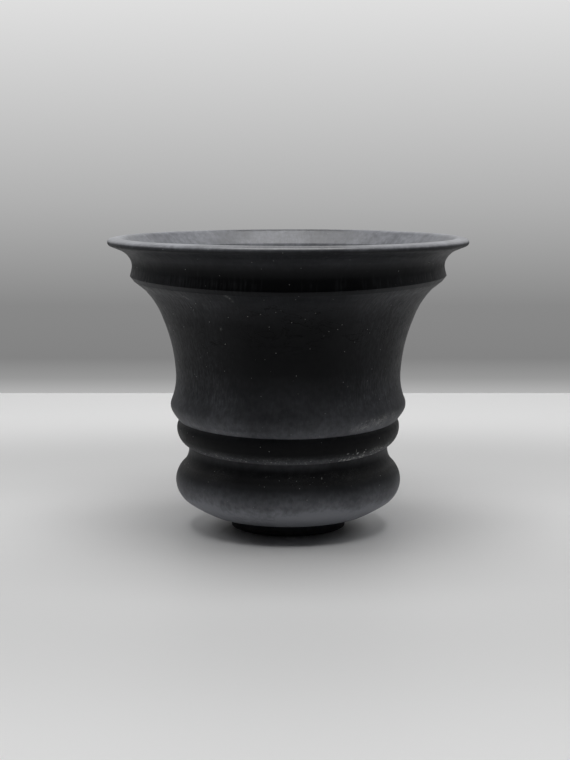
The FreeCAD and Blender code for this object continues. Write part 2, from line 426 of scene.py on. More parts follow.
@dataclass
class NodeSheet:
    """Adds shader nodes to one material and joins them up."""

    material: bpy.types.Material

    @classmethod
    def fresh(cls, name: str) -> "NodeSheet":
        """Start a new material with an empty node tree.

        Args:
            name: The material's name.

        Returns:
            A sheet that adds nodes to it.
        """
        material = bpy.data.materials.new(name)
        material.use_nodes = True
        material.node_tree.nodes.clear()
        return cls(material)

    def add(self, kind: str, **settings: object) -> bpy.types.Node:
        """Add a node and set its options by name.

        Args:
            kind: The node's type.
            **settings: Options to set on it.

        Returns:
            The new node.
        """
        node = self.material.node_tree.nodes.new(kind)
        for name, value in settings.items():
            setattr(node, name, value)
        return node

    def feed(self, socket: bpy.types.NodeSocket, value: object) -> None:
        """Join a socket to another one, or set its own value.

        Args:
            socket: The input to fill.
            value: A socket or a plain value.
        """
        if isinstance(value, bpy.types.NodeSocket):
            self.material.node_tree.links.new(value, socket)
        else:
            socket.default_value = value

    def math(self, operation: str, first: object, second: object = 0.0) -> bpy.types.NodeSocket:
        """Work out a number from one or two numbers.

        Args:
            operation: What to do.
            first: The first number.
            second: The second.

        Returns:
            The result as a number socket.
        """
        node = self.add("ShaderNodeMath", operation=operation)
        self.feed(node.inputs[0], first)
        self.feed(node.inputs[1], second)
        return node.outputs[0]

    def vector(self, operation: str, first: object,
               second: object = (0.0, 0.0, 0.0)) -> bpy.types.NodeSocket:
        """Work out a vector from one or two vectors.

        Args:
            operation: What to do.
            first: The first vector.
            second: The second.

        Returns:
            The result as a vector socket.
        """
        node = self.add("ShaderNodeVectorMath", operation=operation)
        self.feed(node.inputs[0], first)
        self.feed(node.inputs[1], second)
        return node.outputs[0]

    def place(self) -> bpy.types.NodeSocket:
        """Give the point on the pot, in metres."""
        return self.add("ShaderNodeTexCoord").outputs["Object"]

    def wrapped(self, place: bpy.types.NodeSocket, around: float, upright: float) -> bpy.types.NodeSocket:
        """Give noise coordinates that run round the pot and up it.

        Args:
            place: The point on the pot.
            around: Size of a noise cell round the pot, in metres.
            upright: Size of a noise cell up the pot, in metres.

        Returns:
            The coordinates as a vector socket.
        """
        flat = self.vector("MULTIPLY", place, (1.0, 1.0, 0.0))
        reach = UNROLL_RADIUS / around
        ring = self.vector("MULTIPLY", self.vector("NORMALIZE", flat), (reach, reach, 0.0))
        rise = self.vector("MULTIPLY", place, (0.0, 0.0, 1.0 / upright))
        return self.vector("ADD", ring, rise)

    def noise(self, where: object, scale: float, detail: float = 2.0,
              warp: float = 0.0) -> bpy.types.NodeSocket:
        """Give smooth noise from 0 to 1.

        Args:
            where: The place or wrapped coordinates.
            scale: Cells per metre, or per wrapped cell.
            detail: Octaves of finer noise.
            warp: How far the noise bends itself.

        Returns:
            The noise as a number socket.
        """
        node = self.add("ShaderNodeTexNoise")
        self.feed(node.inputs["Vector"], where)
        node.inputs["Scale"].default_value = scale
        node.inputs["Detail"].default_value = detail
        node.inputs["Distortion"].default_value = warp
        return node.outputs["Fac"]

    def span(self, value: object, low: float, high: float, at_low: float = 0.0,
             at_high: float = 1.0) -> bpy.types.NodeSocket:
        """Ease a number from one range to another and hold it at the ends.

        Args:
            value: The number.
            low: Where the ease starts.
            high: Where it ends.
            at_low: The result at low.
            at_high: The result at high.

        Returns:
            The eased number as a socket.
        """
        node = self.add("ShaderNodeMapRange", interpolation_type="SMOOTHSTEP")
        for socket, number in zip(node.inputs, (value, low, high, at_low, at_high)):
            self.feed(socket, number)
        return node.outputs[0]

    def specks(self, where: object, cell: float, radius: float) -> bpy.types.NodeSocket:
        """Give 1 on round specks scattered through the clay and 0 between them.

        Args:
            where: The point on the pot.
            cell: Size of the cell that holds one speck, in metres.
            radius: Radius of a speck, in metres.

        Returns:
            The speck's strength as a number socket.
        """
        node = self.add("ShaderNodeTexVoronoi")
        self.feed(node.inputs["Vector"], where)
        node.inputs["Scale"].default_value = 1.0 / cell
        return self.span(node.outputs["Distance"], radius / cell, SPECK_CORE * radius / cell)

    def distance(self, place: object, centre: Spot, squeeze: float) -> bpy.types.NodeSocket:
        """Give the flat distance from a spot.

        Args:
            place: The point to measure.
            centre: The spot.
            squeeze: How much a step across counts beside a step away.

        Returns:
            The distance in metres as a number socket.
        """
        offset = self.vector("MULTIPLY", self.vector("SUBTRACT", place, centre), (squeeze, 1.0, 0.0))
        node = self.add("ShaderNodeVectorMath", operation="LENGTH")
        self.feed(node.inputs[0], offset)
        return node.outputs["Value"]

    def painted(self, paint: Paint) -> bpy.types.NodeSocket:
        """Give an amount painted on the mesh."""
        return self.add("ShaderNodeAttribute", attribute_name=paint.value).outputs["Fac"]

    def blend(self, share: object, first: object, second: object) -> bpy.types.NodeSocket:
        """Blend two colours.

        Args:
            share: How much of the second.
            first: One colour.
            second: The other.

        Returns:
            The blend as a colour socket.
        """
        node = self.add("ShaderNodeMix", data_type="RGBA")
        self.feed(node.inputs[0], share)
        self.feed(node.inputs[6], first)
        self.feed(node.inputs[7], second)
        return node.outputs[2]

    def surface(self, shader: bpy.types.Node) -> bpy.types.Material:
        """Join the last shader to the material's output.

        Args:
            shader: The last shader.

        Returns:
            The finished material.
        """
        output = self.add("ShaderNodeOutputMaterial")
        self.feed(output.inputs["Surface"], shader.outputs[0])
        return self.material


def opaque(colour: Colour) -> tuple[float, float, float, float]:
    """Add full alpha to a colour."""
    return (*colour, 1.0)


@dataclass(frozen=True)
class ClayFinish:
    """A smoked clay surface: its colours, how rough it is, and how strong each mark of the hand is.

    Bump heights are in millimetres, noise scales are per metre and grain sizes are in metres.
    """

    name: str
    slot: str
    coal: Colour = (0.0038, 0.0041, 0.0050)
    # Pale colour for dust and for painted light.
    bloom: Colour = (0.282, 0.290, 0.318)
    chalk: Colour = (0.48, 0.48, 0.47)
    roughness: float = 0.50
    specular: float = 0.11
    streaks: float = 0.02
    crazing: float = 0.20
    grit: float = 0.020
    speckle: float = 0.55
    speck_bump: float = 0.05
    chalk_bump: float = 0.03
    fog_scale: float = 26.0
    mottle_scale: float = 240.0
    grit_scale: float = 1500.0
    streak_size: tuple[float, float] = (0.0012, 0.0050)
    crack_size: tuple[float, float] = (0.020, 0.0085)
    speck_size: tuple[float, float] = (0.0064, 0.00044)
    dust_sizes: tuple[tuple[float, float], ...] = ((0.0027, 0.00040), (0.0017, 0.00036))
    crack_shade: float = 0.35
    burnish: float = 0.18

    def material(self) -> bpy.types.Material:
        """Give the finish's material, made the first time that it is asked for."""
        made = bpy.data.materials.get(self.name)
        return made if made is not None else self._make()

    def _make(self) -> bpy.types.Material:
        """Build the node tree."""
        sheet = NodeSheet.fresh(self.name)
        place = sheet.place()
        fog = sheet.noise(place, self.fog_scale, 5.0, 0.4)
        mottle = sheet.noise(place, self.mottle_scale, 4.0)
        grit = sheet.noise(place, self.grit_scale, 3.0)
        streak = sheet.noise(sheet.wrapped(place, *self.streak_size), 1.0, 4.0, 0.9)
        fissure = self._fissure(sheet, place)
        speck = sheet.specks(place, *self.speck_size)
        dust = sheet.math("MAXIMUM", *(sheet.specks(place, *size) for size in self.dust_sizes))
        # Amount of dust and painted light, laid as a paler colour over the coal colour.
        bloom = self._dust_and_light(sheet, fog, mottle, streak)
        colour = sheet.blend(bloom, opaque(self.coal), opaque(self.bloom))
        colour = sheet.blend(fissure, colour, opaque(tuple(self.crack_shade * part for part in self.coal)))
        chalk = self._chalk(sheet, grit, mottle, speck, dust)
        colour = sheet.blend(chalk, colour, opaque(self.chalk))
        shader = sheet.add("ShaderNodeBsdfPrincipled")
        sheet.feed(shader.inputs["Base Color"], colour)
        sheet.feed(shader.inputs["Roughness"], self._roughness(sheet, mottle, streak, chalk))
        gloss = sheet.painted(Paint.GLOSS)
        sheet.feed(shader.inputs["Specular IOR Level"], sheet.span(gloss, 0.0, 1.0, self.specular, 1.0))
        height = self._height(sheet, grit, streak, fissure, speck, chalk)
        bump = sheet.add("ShaderNodeBump")
        bump.inputs["Distance"].default_value = MM
        sheet.feed(bump.inputs["Height"], height)
        sheet.feed(shader.inputs["Normal"], bump.outputs[0])
        return sheet.surface(shader)

    def _fissure(self, sheet: NodeSheet, place: bpy.types.NodeSocket) -> bpy.types.NodeSocket:
        """Draw thin wavy cracks that run mostly round the pot, where crazing is painted.

        Args:
            sheet: The material's nodes.
            place: The point on the pot.

        Returns:
            The cracks' strength as a number socket.
        """
        wave = sheet.noise(sheet.wrapped(place, *self.crack_size), 1.0, 4.0, 0.7)
        off_line = sheet.math("ABSOLUTE", sheet.math("SUBTRACT", wave, 0.5))
        line = sheet.span(off_line, 0.016, 0.002)
        return sheet.math("MULTIPLY", line, sheet.painted(Paint.CRAZE))

    def _dust_and_light(self, sheet: NodeSheet, fog: bpy.types.NodeSocket, mottle: bpy.types.NodeSocket,
               streak: bpy.types.NodeSocket) -> bpy.types.NodeSocket:
        """Break the dust and painted light up with cloudy patches, fine mottling and upright streaks.

        Args:
            sheet: The material's nodes.
            fog: Noise for the patches.
            mottle: Noise for the mottling.
            streak: Noise for the streaks.

        Returns:
            The amount of dust and painted light as a number socket.
        """
        clouds = sheet.span(fog, 0.30, 0.70, 0.72, 1.22)
        fine = sheet.span(mottle, 0.30, 0.70, 0.82, 1.16)
        combed = sheet.span(streak, 0.40, 0.68, -0.30, 0.65)
        rubbed = sheet.math("ADD", 1.0, sheet.math("MULTIPLY", combed, sheet.painted(Paint.STREAK)))
        amount = sheet.math("MULTIPLY", sheet.painted(Paint.DUST_AND_LIGHT), clouds)
        amount = sheet.math("MULTIPLY", amount, fine)
        return sheet.math("MULTIPLY", amount, rubbed)

    def _chalk(self, sheet: NodeSheet, grit: bpy.types.NodeSocket, mottle: bpy.types.NodeSocket,
               speck: bpy.types.NodeSocket, dust: bpy.types.NodeSocket) -> bpy.types.NodeSocket:
        """Join the scattered specks to the painted chalk, whose edge crumbles into grains.

        Args:
            sheet: The material's nodes.
            grit: Noise for the grains.
            mottle: Noise for the clumps.
            speck: Lone specks.
            dust: Fine specks.

        Returns:
            The amount of chalk as a number socket.
        """
        painted = sheet.painted(Paint.CHALK)
        grains = sheet.span(grit, 0.42, 0.66, 0.10, 0.62)
        clumps = sheet.span(mottle, 0.36, 0.62, 0.35, 1.0)
        rubbed = sheet.math("MULTIPLY", sheet.math("MULTIPLY", painted, grains), clumps)
        dusty = sheet.math("MULTIPLY", dust, sheet.span(painted, 0.03, 0.60, 0.0, 0.8))
        loose = sheet.math("MULTIPLY", speck, self.speckle)
        chipped = sheet.span(sheet.painted(Paint.CHIP), 0.1, 0.8)
        marked = sheet.math("MAXIMUM", rubbed, chipped)
        return sheet.math("MAXIMUM", marked, sheet.math("MAXIMUM", dusty, loose))

    def _roughness(self, sheet: NodeSheet, mottle: bpy.types.NodeSocket, streak: bpy.types.NodeSocket,
                   chalk: bpy.types.NodeSocket) -> bpy.types.NodeSocket:
        """Vary the roughness with the mottling and the streaks, and make chalk rough.

        Args:
            sheet: The material's nodes.
            mottle: Noise for the mottling.
            streak: Noise for the streaks.
            chalk: The amount of chalk.

        Returns:
            The roughness as a number socket.
        """
        uneven = sheet.span(mottle, 0.25, 0.75, self.roughness - 0.05, self.roughness + 0.06)
        streaked = sheet.span(streak, 0.35, 0.65, 0.04, -0.03)
        bare = sheet.math("ADD", uneven, streaked)
        polish = sheet.math("MULTIPLY", sheet.painted(Paint.GLOSS), self.burnish)
        rubbed = sheet.math("SUBTRACT", bare, polish)
        return sheet.math("MAXIMUM", rubbed, sheet.math("MULTIPLY", chalk, 0.9))

    def _height(self, sheet: NodeSheet, grit: bpy.types.NodeSocket, streak: bpy.types.NodeSocket,
                fissure: bpy.types.NodeSocket, speck: bpy.types.NodeSocket,
                chalk: bpy.types.NodeSocket) -> bpy.types.NodeSocket:
        """Add up the fine relief.

        Args:
            sheet: The material's nodes.
            grit: Noise for the grit.
            streak: Noise for the streaks.
            fissure: The cracks.
            speck: Lone specks.
            chalk: The amount of chalk.

        Returns:
            The relief in millimetres as a number socket.
        """
        combed = sheet.math("MULTIPLY", streak, sheet.painted(Paint.STREAK))
        parts = [
            (grit, self.grit),
            (combed, self.streaks),
            (fissure, -self.crazing),
            (speck, self.speck_bump),
            (chalk, self.chalk_bump),
        ]
        total: object = 0.0
        for socket, tall in parts:
            total = sheet.math("ADD", total, sheet.math("MULTIPLY", socket, tall))
        return total


SMOKED_CLAY = ClayFinish(name="smoked_finish", slot="smoked_clay")
RIM_CLAY = ClayFinish(name="rim_finish", slot="rim_clay", streaks=0.02, crazing=0.05)
INNER_CLAY = ClayFinish(name="inner_finish", slot="inner_clay", streaks=0.0, roughness=0.62, grit=0.03)
SCRAPED_CLAY = ClayFinish(name="scraped_finish", slot="scraped_clay", streaks=0.0, roughness=0.70, grit=0.04)


@dataclass
class TurnedPiece:
    """A clay piece spun from its outline in the frame, with its hand-made unevenness, its soiling and its
    painted light.
    """

    node: str
    finish: ClayFinish
    columns: int = 720
    outer_step: float = 1.0 * MM
    inner_step: float = 3.0 * MM
    joint_length: float = 6.0 * MM
    work: HandWork = field(default_factory=HandWork)
    sag: Sag = field(default_factory=Sag)
    # Amount of dust and painted light at each height in millimetres.
    dust_and_light_by_height: tuple[tuple[float, float], ...] = ((0.0, 0.25),)
    marks: tuple[Mark, ...] = ()
    chips: tuple[Chips, ...] = ()
    chip_depth: float = 0.12 * MM

    def rows(self) -> tuple[np.ndarray, np.ndarray, np.ndarray]:
        """Place the rows of the mesh along the outline.

        Returns:
            Points of radius and height, their outward normals, and the side that each row faces.
        """
        stretches = [one for one in Outline.of_node(self.node).stretches if one.points[:, 0].max() > 0.0]
        joints = [one.length < self.joint_length for one in stretches]
        points, normals, sides = [], [], []
        for index, stretch in enumerate(stretches):
            joint, after_joint = joints[index], joints[index - 1]
            before_joint = joints[(index + 1) % len(joints)]
            where, heading = stretch.resampled(self._step(stretch, joint))
            normal = np.stack([heading[:, 1], -heading[:, 0]], axis=1)
            facing = normal[:, 0] - 0.5 * normal[:, 1]
            side = np.where(facing > 0.0, Side.OUTSIDE.value, Side.INSIDE.value)
            if joint:
                side = np.full(len(where), Side.JOINT.value)
            first = 1 if joint and not after_joint else 0
            last = len(where) if not joint and (before_joint or where[-1, 0] == 0.0) else len(where) - 1
            points.append(where[first:last])
            normals.append(normal[first:last])
            sides.append(side[first:last])
        return np.vstack(points), np.vstack(normals), np.concatenate(sides)

    def _step(self, stretch: Stretch, joint: bool) -> float:
        """Choose the row spacing: fine outside, coarser inside, and one span across a joint.

        Args:
            stretch: The stretch to divide.
            joint: Whether it is a joint face.

        Returns:
            The most room between two rows, in metres.
        """
        if joint:
            return self.joint_length
        rise = stretch.points[-1, 1] - stretch.points[0, 1]
        return self.outer_step if rise > 0.0 else self.inner_step

    def surface(self) -> Surface:
        """Spin the rows into a grid.

        Returns:
            The piece's surface.
        """
        points, normals, side = self.rows()
        angle = np.linspace(0.0, FULL_TURN, self.columns, endpoint=False)[None, :]
        column = np.ones((1, self.columns))
        return Surface(
            angle=angle * np.ones((len(points), 1)),
            radius=points[:, :1] * column,
            high=points[:, 1:] * column,
            normal_out=normals[:, :1] * column,
            normal_up=normals[:, 1:] * column,
            side=side,
        )

    def relief(self, surface: Surface) -> np.ndarray:
        """Give how far the clay stands off the outline, in metres."""
        lift = self.work.lift(surface) * (surface.outside + surface.inside)
        return lift - self.chip_depth * self.chipped(surface)

    def chipped(self, surface: Surface) -> np.ndarray:
        """Give the strength of the chips over the surface.

        Args:
            surface: The piece's surface.

        Returns:
            The strength at each point.
        """
        total = np.zeros_like(surface.angle)
        for chips in self.chips:
            total = np.maximum(total, chips.mask(surface))
        return total

    def paint(self, surface: Surface) -> dict[Paint, np.ndarray]:
        """Give the painted amounts over the surface.

        Args:
            surface: The piece's surface.

        Returns:
            The amount of each paint at each point.
        """
        chalk = np.zeros_like(surface.angle)
        for mark in self.marks:
            chalk = np.maximum(chalk, mark.mask(surface))
        # Dust and painted light, read by height from the piece's table.
        heights, amounts = zip(*self.dust_and_light_by_height)
        return {
            Paint.DUST_AND_LIGHT: np.interp(surface.high / MM, heights, amounts),
            Paint.CHALK: chalk * surface.outside,
            Paint.CRAZE: np.zeros_like(surface.angle),
            Paint.STREAK: np.full_like(surface.angle, 0.1),
            Paint.GLOSS: np.zeros_like(surface.angle),
            Paint.CHIP: self.chipped(surface),
        }

    def build(self) -> bpy.types.Object:
        """Make the piece's mesh, dress it and put it in its node's place.

        Returns:
            The new object.
        """
        surface = self.surface()
        lift = self.relief(surface)
        radius = np.maximum(surface.radius + surface.normal_out * lift, 0.0)
        radius[surface.radius <= 0.0] = 0.0
        high = np.maximum(surface.high + surface.normal_up * lift + self.sag.shift(surface), 0.0)
        points = np.stack([radius * np.sin(surface.angle), -radius * np.cos(surface.angle), high], axis=-1)
        kept = np.ones(surface.angle.shape, dtype=bool)
        kept[surface.radius[:, 0] <= 0.0, 1:] = False
        mesh = bpy.data.meshes.new(self.node)
        mesh.from_pydata(points[kept], [], self._faces(kept))
        for paint, amount in self.paint(surface).items():
            layer = mesh.attributes.new(paint.value, "FLOAT", "POINT")
            layer.data.foreach_set("value", amount[kept].astype(np.float32))
        mesh.polygons.foreach_set("use_smooth", np.ones(len(mesh.polygons), dtype=bool))
        mesh.set_sharp_from_angle(angle=math.radians(SHARP_DEGREES))
        mesh.materials.append(self.finish.material())
        mesh.update()
        shown = bpy.data.objects.new(f"{self.node}_clay", mesh)
        bpy.context.scene.collection.objects.link(shown)
        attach(shown, "root")
        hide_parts(self.node)
        LOG.info("%s: %d faces", shown.name, len(mesh.polygons))
        return shown

    @staticmethod
    def _faces(kept: np.ndarray) -> list[tuple[int, ...]]:
        """Join the grid's points into faces that look out of the clay.

        Args:
            kept: Which points of the grid are used. A row at the axis keeps only its first.

        Returns:
            The faces, as numbers of the points that are used.
        """
        rows, columns = kept.shape
        number = (np.cumsum(kept.reshape(-1)) - 1).reshape(rows, columns)
        beside = np.roll(number, -1, axis=1)
        poles = ~kept[:, -1]
        faces: list[tuple[int, ...]] = []
        for row in range(rows):
            above = (row + 1) % rows
            if poles[row] and poles[above]:
                continue
            corners = np.stack([number[row], beside[row], beside[above], number[above]], axis=1)
            if poles[row]:
                corners = corners[:, [0, 2, 3]]
            elif poles[above]:
                corners = corners[:, [0, 1, 3]]
            faces.extend(map(tuple, corners.tolist()))
        return faces


@dataclass
class RimRing(TurnedPiece):
    """The flared lip with its dished top. The lip dips and swells a little, and its edge is nicked."""

    node: str = "rim_ring"
    finish: ClayFinish = RIM_CLAY
    columns: int = 900
    outer_step: float = 0.65 * MM
    inner_step: float = 0.65 * MM
    # Dust and painted light by height: palest at the lip's crest.
    dust_and_light_by_height: tuple[tuple[float, float], ...] = ((214.0, 0.07), (218.0, 0.07), (223.5, 0.05), (226.0, 0.35))
    nicks: int = 46
    nick_wide: tuple[float, float] = (0.6 * MM, 2.2 * MM)
    nick_deep: tuple[float, float] = (0.03, 0.16)
    lip_below: float = 2.6 * MM

    def relief(self, surface: Surface) -> np.ndarray:
        """Cut small nicks into the lip's outer edge.

        Args:
            surface: The ring's surface.

        Returns:
            How far the clay stands off its outline, in metres.
        """
        lift = super().relief(surface)
        rng = np.random.default_rng(31)
        lip = surface.high.max() - self.lip_below
        for _ in range(self.nicks):
            across = surface.gap_round(rng.uniform(-180.0, 180.0)) / rng.uniform(*self.nick_wide)
            up = (surface.high - lip - rng.uniform(-0.8, 1.6) * MM) / (0.9 * MM)
            lift -= rng.uniform(*self.nick_deep) * MM * np.exp(-(across**2 + up**2)) * surface.outside
        return lift

    def paint(self, surface: Surface) -> dict[Paint, np.ndarray]:
        """Paint light on the dished top, most at its sides, along with some dust, and paint the throat under
        it paler to lift its shade.

        Args:
            surface: The ring's surface.

        Returns:
            The amount of each paint at each point.
        """
        painted = super().paint(surface)
        # Painted light, partly dust: the upward-facing top paler, most at its sides.
        up = smooth_step(surface.normal_up, 0.1, 0.8)
        inward = smooth_step(surface.normal_out, 0.0, -0.6)
        flank = smooth_step(np.abs(np.sin(surface.angle)), 0.15, 0.65)
        level = 0.36 + 0.50 * flank - 0.10 * inward
        painted[Paint.DUST_AND_LIGHT] = painted[Paint.DUST_AND_LIGHT] * (1.0 - up) + level * up
        # Painted light: the throat inside the lip made paler to lift its shade.
        painted_throat_light = 0.55 * smooth_step(surface.normal_out, -0.30, -0.80)
        painted[Paint.DUST_AND_LIGHT] = np.maximum(painted[Paint.DUST_AND_LIGHT], painted_throat_light)
        painted[Paint.GLOSS] = up * (0.82 - 0.30 * inward)
        return painted


@dataclass
class CollarBand(TurnedPiece):
    """The coved band. Short upright nicks were pressed into the clay just above its sharp lower edge."""

    node: str = "collar_band"
    finish: ClayFinish = SMOKED_CLAY
    columns: int = 1000
    outer_step: float = 0.45 * MM
    inner_step: float = 1.5 * MM
    # Dust and painted light by height.
    dust_and_light_by_height: tuple[tuple[float, float], ...] = (
        (195.0, 0.03), (199.0, 0.0), (206.0, 0.0), (210.0, 0.02), (214.0, 0.06),
    )
    nicks: int = 210
    nick_high: float = 201.5
    nick_deep: float = 0.30 * MM
    comb: tuple[float, float, float] = (-46.0, -14.0, 1.25)
    comb_high: float = 201.4

    def nick_places(self) -> list[Mark]:
        """Place the upright nicks: close on the left of the front, wide apart elsewhere.

        Returns:
            The nicks as marks.
        """
        rng = np.random.default_rng(47)
        places = []
        for _ in range(self.nicks):
            degrees = rng.uniform(-180.0, 180.0)
            if -8.0 < degrees < 12.0 and rng.uniform() < 0.8:
                continue
            high = self.nick_high + rng.normal() * 1.2
            wide, tall = rng.uniform(0.35, 0.6), rng.uniform(1.8, 4.2)
            places.append(Mark(degrees, high, wide, tall, rng.uniform(0.3, 0.7), rng.normal() * 5.0))
        for degrees in np.arange(*self.comb):
            tall, strength = rng.uniform(2.2, 4.0), rng.uniform(0.5, 1.0)
            at = degrees + rng.normal() * 0.4
            places.append(Mark(at, self.comb_high, 0.55, tall, strength, rng.normal() * 4.0))
        return places

    def pressed(self, surface: Surface) -> np.ndarray:
        """Give the strength of the nicks over the surface.

        Args:
            surface: The band's surface.

        Returns:
            The strength at each point.
        """
        depth = np.zeros_like(surface.angle)
        for place in self.nick_places():
            depth = np.maximum(depth, place.mask(surface))
        return depth * surface.outside

    def relief(self, surface: Surface) -> np.ndarray:
        """Press the nicks into the band."""
        return super().relief(surface) - self.nick_deep * self.pressed(surface)

    def paint(self, surface: Surface) -> dict[Paint, np.ndarray]:
        """Leave dust in the nicks, and paint light on the band's lower sides.

        Args:
            surface: The band's surface.

        Returns:
            The amount of each paint at each point.
        """
        painted = super().paint(surface)
        # Painted sheen on the lower sides, where grazing light from the backdrop falls; dust in the nicks.
        flank = smooth_step(np.abs(np.sin(surface.angle)), 0.35, 0.85)
        low = smooth_step(surface.high / MM, 210.0, 203.0)
        painted[Paint.DUST_AND_LIGHT] += 0.07 * self.pressed(surface) + 0.065 * flank * low
        return painted


@dataclass
class FlaredWall(TurnedPiece):
    """The main wall, from the shoulder through the waist to the collar."""

    node: str = "flared_wall"
    finish: ClayFinish = SMOKED_CLAY
    columns: int = 720
    outer_step: float = 1.35 * MM
    inner_step: float = 5.0 * MM
    # Dust and painted light by height: palest low on the shoulder, where the clay faces down to the lit
    # table, and none up the middle of the wall.
    dust_and_light_by_height: tuple[tuple[float, float], ...] = (
        (85.0, 0.42), (88.0, 0.36), (92.0, 0.26), (97.0, 0.19), (106.0, 0.17), (113.0, 0.12),
        (121.0, 0.06), (132.0, 0.01), (143.0, 0.0), (165.0, 0.0), (188.0, 0.05), (193.0, 0.04),
    )
    marks: tuple[Mark, ...] = (
        Mark(49.0, 92.8, 9.0, 3.6, 0.95, 9.0),
        Mark(38.0, 90.2, 9.0, 2.6, 0.80, 7.0),
        Mark(52.5, 95.3, 2.0, 1.3, 1.0),
        Mark(60.0, 95.0, 5.0, 3.0, 0.50, 10.0),
        Mark(-30.0, 88.0, 18.0, 1.5, 0.30),
        Mark(-52.0, 88.2, 14.0, 1.6, 0.35),
        Mark(-21.8, 194.2, 1.7, 1.3, 0.70),
        Mark(-21.2, 193.0, 0.9, 2.2, 0.60, 25.0),
        Mark(-20.7, 190.2, 0.8, 0.8, 0.70),
        Mark(-41.3, 190.0, 0.6, 2.8, 0.60, 50.0),
        Mark(-30.4, 165.0, 0.8, 0.8, 1.0),
    )
    chips: tuple[Chips, ...] = (
        Chips(121, 46, (30.0, 60.0), (88.0, 96.5), (0.5, 0.9), (0.2, 0.6)),
        Chips(122, 34, (-70.0, -22.0), (86.5, 90.0), (0.5, 0.8), (0.15, 0.4)),
        Chips(123, 60, (-180.0, 180.0), (100.0, 190.0), (0.5, 0.7), (0.2, 0.5)),
    )
    chip_depth: float = 0.05 * MM

    def paint(self, surface: Surface) -> dict[Paint, np.ndarray]:
        """Paint light on the wall's sides, streak them, and craze the upper wall in patches.

        Args:
            surface: The wall's surface.

        Returns:
            The amount of each paint at each point.
        """
        painted = super().paint(surface)
        high = surface.high / MM
        flank = smooth_step(np.abs(np.sin(surface.angle)), 0.20, 0.80)
        # Painted sheen: the sides paler, where grazing light from the backdrop falls.
        painted[Paint.DUST_AND_LIGHT] += 0.045 * flank
        painted[Paint.STREAK] = 0.15 + 0.85 * flank * smooth_step(high, 100.0, 116.0)
        patches = smooth_step(Grain(71).at(surface.unrolled(0.05, 0.05)), -0.12, 0.25)
        front = np.exp(-((surface.gap_round(2.0) / (36.0 * MM)) ** 2))
        band = smooth_step(high, 140.0, 160.0) * smooth_step(high, 190.0, 182.0)
        painted[Paint.CRAZE] = np.clip(np.maximum(patches, front), 0.0, 1.0) * band * surface.outside
        return painted


@dataclass
class MiddleBead(TurnedPiece):
    """The round coil between the two creases, chalky along its lower edge."""

    node: str = "middle_bead"
    finish: ClayFinish = SMOKED_CLAY
    columns: int = 900
    outer_step: float = 0.6 * MM
    inner_step: float = 1.5 * MM
    # Dust and painted light by height: paler on the lower side, which faces the lit table.
    dust_and_light_by_height: tuple[tuple[float, float], ...] = (
        (65.0, 0.30), (67.5, 0.20), (70.0, 0.05), (73.0, 0.0), (79.0, 0.0), (83.0, 0.03), (85.0, 0.08),
    )
    marks: tuple[Mark, ...] = (
        Mark(52.0, 69.5, 8.0, 3.0, 0.70),
        Mark(42.0, 68.0, 7.0, 2.2, 0.55),
        Mark(64.0, 71.0, 6.0, 3.0, 0.50),
    )
    chips: tuple[Chips, ...] = (
        Chips(101, 50, (30.0, 64.0), (65.4, 72.0)),
        Chips(102, 26, (26.0, 58.0), (65.2, 67.2), (0.4, 1.0), (0.7, 1.0)),
        Chips(103, 52, (-56.0, -12.0), (65.2, 68.4), (0.35, 0.7), (0.25, 0.9)),
        Chips(104, 40, (-12.0, 30.0), (65.2, 67.8), (0.35, 0.7), (0.2, 0.8)),
        Chips(105, 110, (64.0, 304.0), (65.2, 68.6), (0.35, 0.7), (0.2, 0.8)),
    )

    def paint(self, surface: Surface) -> dict[Paint, np.ndarray]:
        """Chalk the lower edge unevenly all round.

        Args:
            surface: The bead's surface.

        Returns:
            The amount of each paint at each point.
        """
        painted = super().paint(surface)
        high = surface.high / MM
        edge = smooth_step(high, 73.0, 68.5)
        uneven = 0.22 + 0.30 * Grain(83).rough(surface.unrolled(0.012, 0.004), 3)
        painted[Paint.CHALK] = np.maximum(painted[Paint.CHALK], edge * uneven * surface.outside)
        return painted


@dataclass
class BaseBowl(TurnedPiece):
    """The swelling base with its cove: paler towards the bottom of the swell, partly dust and partly painted
    light from the table below, and dark and speckled in the cove.
    """

    node: str = "base_bowl"
    finish: ClayFinish = SMOKED_CLAY
    columns: int = 680
    outer_step: float = 0.85 * MM
    inner_step: float = 2.5 * MM
    # Painted light, with some dust: the swell grows paler towards its bottom, where it faces the lit table.
    dust_and_light_by_height: tuple[tuple[float, float], ...] = (
        (22.0, 1.20), (26.0, 1.02), (30.5, 0.64), (38.5, 0.29), (45.5, 0.07), (50.0, 0.0), (58.0, 0.02),
        (64.0, 0.12),
    )
    chips: tuple[Chips, ...] = (
        Chips(111, 40, (-15.0, 31.0), (49.5, 57.5), (0.35, 0.55), (0.2, 0.6)),
        Chips(112, 90, (-180.0, 180.0), (24.0, 60.0), (0.35, 0.55), (0.15, 0.5)),
    )
    chip_depth: float = 0.05 * MM

    def paint(self, surface: Surface) -> dict[Paint, np.ndarray]:
        """Scatter chalk grains in the cove.

        Args:
            surface: The bowl's surface.

        Returns:
            The amount of each paint at each point.
        """
        painted = super().paint(surface)
        high = surface.high / MM
        cove = smooth_step(high, 46.0, 50.0) * smooth_step(high, 60.0, 56.0)
        patches = 0.06 + 0.14 * Grain(97).at(surface.unrolled(0.03, 0.03))
        painted[Paint.CHALK] = np.maximum(painted[Paint.CHALK], cove * patches * surface.outside)
        return painted


